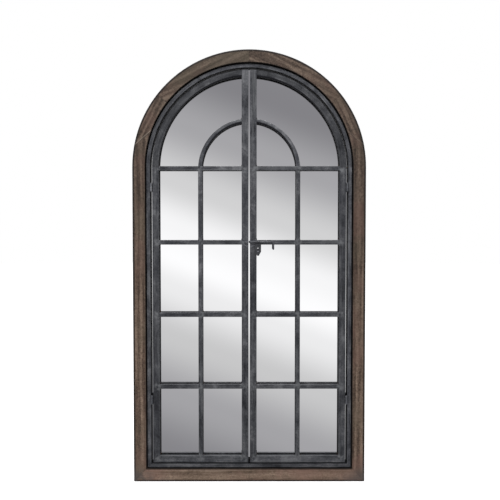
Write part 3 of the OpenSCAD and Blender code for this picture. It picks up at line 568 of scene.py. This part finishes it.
# Back board. Hardboard, smooth brown face with pressed fibres, cut to the arch and screwed down
# on the glass.
def hardboard():
    material, tree, spot = started("hardboard")
    fibre = noise_node(tree, spot, 420, 5, 0.7, 1.2)
    cloud = noise_node(tree, spot, 9, 5, 0.7)
    board = ramp_node(tree, fibre, ((0.34, (0.150, 0.088, 0.048)), (0.52, (0.230, 0.146, 0.084)),
                                    (0.68, (0.320, 0.218, 0.136))))
    board = blend_node(tree, times(tree, rise(tree, cloud, 0.35, 0.65), 0.35), board,
                       (0.135, 0.082, 0.046))
    return finished(material, {
        "Base Color": board, "Roughness": 0.62, "Normal": bump_node(tree, fibre, 0.35, 0.0004)})


dress(["back_board"], hardboard())


# Screws. Zinc plated wood screws with a stamped cross. The board is held by round heads that stand on
# it, and the hangers by flat heads sunk flush. The glass hides the heads of the flange's screws.
cross_width = 0.00072
cross_depth = 0.0009
shank_radius = 0.0015
point_length = 0.003
cross_turn = 28
board_ring = 0.38025
rail_row = half_width - board_ring
arch_turns = (27, 56, 76)
board_back = 0.0015
hanger_x = 0.396
hanger_height = 1.0
hanger_screw_step = 0.017


def zinc_plate(name, dark=1.0):
    material, tree, spot = started(name)
    spangle = noise_node(tree, spot, 320, 4, 0.6)
    rub = noise_node(tree, spot, 1500, 2, 0.5)
    zinc = ramp_node(tree, spangle, ((0.32, scaled(dark, (0.30, 0.31, 0.32))),
                                     (0.68, scaled(dark, (0.50, 0.51, 0.52)))))
    return finished(material, {
        "Base Color": zinc, "Metallic": 0.85,
        "Roughness": ramp_node(tree, spangle, ((0.3, (0.32,)), (0.7, (0.48,)))),
        "Normal": bump_node(tree, rub, 0.25, 0.0001)})


def pick(test, kind="VERT"):
    """Selects the points, edges or faces of the mesh in hand whose middle passes the test."""
    bpy.ops.mesh.select_mode(type=kind)
    bpy.ops.mesh.select_all(action="DESELECT")
    shape = bmesh.from_edit_mesh(bpy.context.object.data)
    for part in {"VERT": shape.verts, "EDGE": shape.edges, "FACE": shape.faces}[kind]:
        points = [part.co] if kind == "VERT" else [v.co for v in part.verts]
        part.select = bool(test(sum(points, Vector()) / len(points)))
    shape.select_flush_mode()
    bmesh.update_edit_mesh(bpy.context.object.data)


def draw_out(step, grow=1.0):
    """Extrudes what is selected by a step, then widens or narrows it about the Z axis."""
    bpy.ops.mesh.extrude_region_move(TRANSFORM_OT_translate={"value": step})
    bpy.ops.transform.resize(value=(grow, grow, 1), center_override=(0, 0, 0))


def cross_head_screw(name, rings, tip):
    """A screw that points down, with its head's top at 0. rings are the radius and height of each
    ring of the head below its top, the last one where it meets the shank."""
    bpy.ops.object.select_all(action="DESELECT")
    bpy.ops.mesh.primitive_grid_add(x_subdivisions=5, y_subdivisions=5, size=5 * cross_width,
                                    location=(0, 0, 0))
    screw = bpy.context.object
    screw.name = name
    bpy.ops.object.mode_set(mode="EDIT")
    pick(lambda p: max(abs(p.x), abs(p.y)) > 2.4 * cross_width)
    bpy.ops.transform.tosphere(value=1.0)
    edge_r = max(Vector((v.co.x, v.co.y)).length for v in bmesh.from_edit_mesh(screw.data).verts)
    pick(lambda p: min(abs(p.x), abs(p.y)) < 0.2 * cross_width
         and max(abs(p.x), abs(p.y)) < 1.4 * cross_width, "FACE")
    draw_out((0, 0, -cross_depth), 0.7)
    pick(lambda p: p.z > -0.00001 and Vector((p.x, p.y)).length > edge_r * 0.93, "EDGE")
    reached, level = edge_r, 0.0
    for ring_r, ring_z in rings + ((shank_radius, tip + point_length), (shank_radius * 0.2, tip)):
        draw_out((0, 0, ring_z - level), ring_r / reached)
        reached, level = ring_r, ring_z
    bpy.ops.mesh.edge_face_add()
    bpy.ops.mesh.select_all(action="SELECT")
    bpy.ops.mesh.normals_make_consistent(inside=False)
    bpy.ops.object.mode_set(mode="OBJECT")
    bpy.ops.object.shade_smooth_by_angle(angle=math.radians(35))
    return screw


def copied_and_joined(name, laid):
    """Copies each model to its place and turn, and joins the copies as one piece at the origin."""
    copies = []
    for model, place, turn in laid:
        one = model.copy()
        one.data = model.data.copy()
        bpy.context.scene.collection.objects.link(one)
        one.rotation_euler = turn
        one.location = place
        copies.append(one)
    bpy.ops.object.select_all(action="DESELECT")
    for one in copies:
        one.select_set(True)
    bpy.context.view_layer.objects.active = copies[0]
    bpy.ops.object.join()
    whole = bpy.context.object
    whole.name = name
    bpy.ops.object.transform_apply(location=True, rotation=True, scale=True)
    return whole


def screw_set(model, name, places, top, node, body):
    """Drives a screw into each place of the back, with the top of its head this far from the wall.
    Each cross comes to rest at a turn of its own."""
    whole = copied_and_joined(name, [(model, (x, -top, z), (-quarter, cross_turn * x, 0))
                                     for x, z in places])
    whole.data.materials.append(zinc_plate(name + " zinc"))
    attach(whole, body)
    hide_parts(node)
    bpy.data.objects.remove(model)


dress(["flange_screws"], zinc_plate("zinc screws"))
board_places = [(side * board_ring, rail_row + (spring_height - rail_row) * (i + 0.5) / 4)
                for side in (-1, 1) for i in range(4)]
board_places += [(side * board_ring * math.cos(math.radians(turn)),
                  spring_height + board_ring * math.sin(math.radians(turn)))
                 for side in (-1, 1) for turn in arch_turns]
board_places += [(board_ring * (i / 2 - 1), rail_row) for i in (1, 2, 3)]
round_head = cross_head_screw("round_head", (
    (0.0024, -0.00022), (0.0029, -0.00075), (0.0030, -0.0015), (shank_radius, -0.0015)), -0.0175)
screw_set(round_head, "board_screw_set", board_places, board_back, "board_screws", "root")
hanger_places = [(side * hanger_x, hanger_height + step * hanger_screw_step)
                 for side in (-1, 1) for step in (-1, 1)]
flat_head = cross_head_screw("flat_head", ((0.0030, 0.0), (shank_radius, -0.0015)), -0.016)
screw_set(flat_head, "hanger_screw_set", hanger_places, 0.0, "hanger_screws", "root")


# Hangers. Keyhole plates stamped from 1.5 mm galvanised strip and let into the backs of the posts,
# each held by two of the flat heads.
dress(["left_hanger", "right_hanger"], zinc_plate("galvanised strip", 0.9))


# Hinges. Barrels rolled round a headed pin, riveted to the jamb and to the stile, and blackened with
# the frame. Painted shade darkens all but a thin strip down the front of each barrel.
hinge_steel = waxed_steel("hinge steel", -quarter, 5, lift=1.6, face=0.0443)
for side in ("left", "right"):
    for height in ("upper", "lower"):
        dress([f"{side}_{height}_{piece}" for piece in ("frame_leaf", "door_leaf", "hinge_pin")],
              hinge_steel)
dress(["frame_leaf_rivets", "left_leaf_rivets", "right_leaf_rivets"],
      waxed_steel("rivet steel", 0.0, 6, lift=1.5))


# Leaves. Flat steel bars butted and welded, the welds dressed flush on the face. Each run of bars
# keeps its own rolling marks. Painted shade darkens the bars' sides, and the inner arrises of the
# arches and the arch rail's outer arris go black with it.
small_arch_height = 1.096
# Radii of the arch rail's and the small arch's arrises that painted shade turns black.
rail_arris_shade = {"inner_edge": 0.3145, "outer_edge": 0.338, "thinning": 5.0}
small_arch_inner = 0.163
for side, seed, upright_lift in (("left", 10, 0.95), ("right", 20, 0.78)):
    dress([side + "_hinge_stile", side + "_meeting_stile"],
          waxed_steel(side + " stile steel", -quarter, seed, dressed=True, lift=0.85))
    dress([side + "_foot_rail"],
          waxed_steel(side + " foot steel", 0.0, seed + 1, dressed=True))
    dress([side + "_arch_rail"],
          waxed_steel(side + " arch rail steel", 0.0, seed + 2, arch_height=spring_height,
                      lift=0.6, rubbing=0.3, **rail_arris_shade))
    dress([side + "_upright_muntin"],
          waxed_steel(side + " upright steel", -quarter, seed + 3, dressed=True,
                      lift=upright_lift))
    dress([side + "_cross_muntins"],
          waxed_steel(side + " cross steel", 0.0, seed + 4, dressed=True, lift=0.93))
    dress([side + "_arch_muntin"],
          waxed_steel(side + " small arch steel", 0.0, seed + 5, arch_height=small_arch_height,
                      lift=1.1, inner_edge=small_arch_inner))


# Welds. A short run of bead at each butt joint on the backs of the leaves, where nobody ground it
# off, tinted straw and blue by the heat. Each run starts at its joint's middle and goes up or to the
# right from there, so three of the long ones pass the outer edge of their leaf.
leaf_back = -0.021
drop_length = 0.0011
drop_radius = 0.0009
meeting_edge = 0.026
hinge_edge = 0.3145
upright_edges = (0.163, 0.178)
upright_middle = 0.1705
stile_middle = 0.3262
spring_bar_middle = 1.101
spring_bar_edges = (1.0935, 1.1085)
small_arch_end = 1.2645
arch_rail_end = 1.4292
foot_rail_top = 0.089
foot_mitre_middle = 0.0772


def tinted_weld(name):
    material, tree, spot = started(name)
    heat = noise_node(tree, spot, 260, 3, 0.6)
    tint = ramp_node(tree, heat, ((0.36, (0.040, 0.041, 0.046)), (0.48, (0.105, 0.078, 0.052)),
                                  (0.56, (0.085, 0.062, 0.070)), (0.66, (0.045, 0.058, 0.095))))
    spatter = noise_node(tree, spot, 1400, 2, 0.5)
    return finished(material, {
        "Base Color": tint, "Metallic": 0.6,
        "Roughness": ramp_node(tree, heat, ((0.3, (0.36,)), (0.7, (0.52,)))),
        "Normal": bump_node(tree, spatter, 0.3, 0.0001)})


def bead_run(name, drops):
    """A rippled bead that runs up Z from 0, laid half into the steel."""
    bpy.ops.object.select_all(action="DESELECT")
    bpy.ops.mesh.primitive_circle_add(vertices=8, radius=drop_radius, fill_type="NGON",
                                      location=(0, 0, 0))
    bead = bpy.context.object
    bead.name = name
    bpy.ops.object.mode_set(mode="EDIT")
    bpy.ops.mesh.select_all(action="SELECT")
    draw_out((0, 0, drop_length), 1.8)
    for _ in range(drops - 1):
        draw_out((0, 0, drop_length), 0.84)
        draw_out((0, 0, drop_length), 1 / 0.84)
    draw_out((0, 0, drop_length), 0.55)
    bpy.ops.mesh.select_all(action="SELECT")
    bpy.ops.transform.resize(value=(1, 0.42, 1), center_override=(0, 0, 0))
    bpy.ops.mesh.normals_make_consistent(inside=False)
    bpy.ops.object.mode_set(mode="OBJECT")
    bpy.ops.object.shade_smooth_by_angle(angle=math.radians(60))
    return bead


short_run = bead_run("short_run", 6)
long_run = bead_run("long_run", 10)
standing, lying = (0, 0, 0), (0, quarter, 0)
joints = [(short_run, x, top_bar_height - row * bar_step, standing)
          for row in (1, 2, 3) for x in (meeting_edge, *upright_edges, hinge_edge)]
joints += [(short_run, meeting_edge, spring_bar_middle, standing),
           (short_run, hinge_edge, spring_bar_middle, standing),
           (short_run, meeting_edge, small_arch_end, standing)]
joints += [(short_run, upright_middle, z, lying) for z in (*spring_bar_edges, foot_rail_top)]
joints += [(long_run, meeting_edge, foot_mitre_middle, standing),
           (long_run, hinge_edge, foot_mitre_middle, standing),
           (long_run, meeting_edge, arch_rail_end, standing),
           (long_run, stile_middle, spring_height, lying)]
for side, sign in (("left", -1), ("right", 1)):
    welds = copied_and_joined(side + "_leaf_welds", [
        (model, (sign * x, leaf_back, z), turn) for model, x, z, turn in joints])
    welds.data.materials.append(tinted_weld(side + " weld steel"))
    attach(welds, side + "_door")
for model in (short_run, long_run):
    bpy.data.objects.remove(model)


# Latch. Two halves of a cut steel rose with bent loops, the round rod that slides through them, and
# the hasp that hangs on the rod between two collars.
# Painted shade: behind each face depth, the loops, the back half of the rod and the collars, and the
# hasp's sides go near black.
dress(["keeper", "bolt_guide", "muntin_guide"],
      waxed_steel("latch plate steel", 0.0, 30, lift=1.6, face=0.0362))
dress(["bolt_rod", "bolt_collars"],
      waxed_steel("rod steel", 0.0, 31, lift=0.78, face=0.0425))
dress(["hasp"], waxed_steel("hasp steel", -quarter, 32, lift=0.58, face=0.0425))
dress(["keeper_rivets", "guide_rivets", "hasp_stud"], waxed_steel("stud steel", 0.0, 33, lift=2.0))
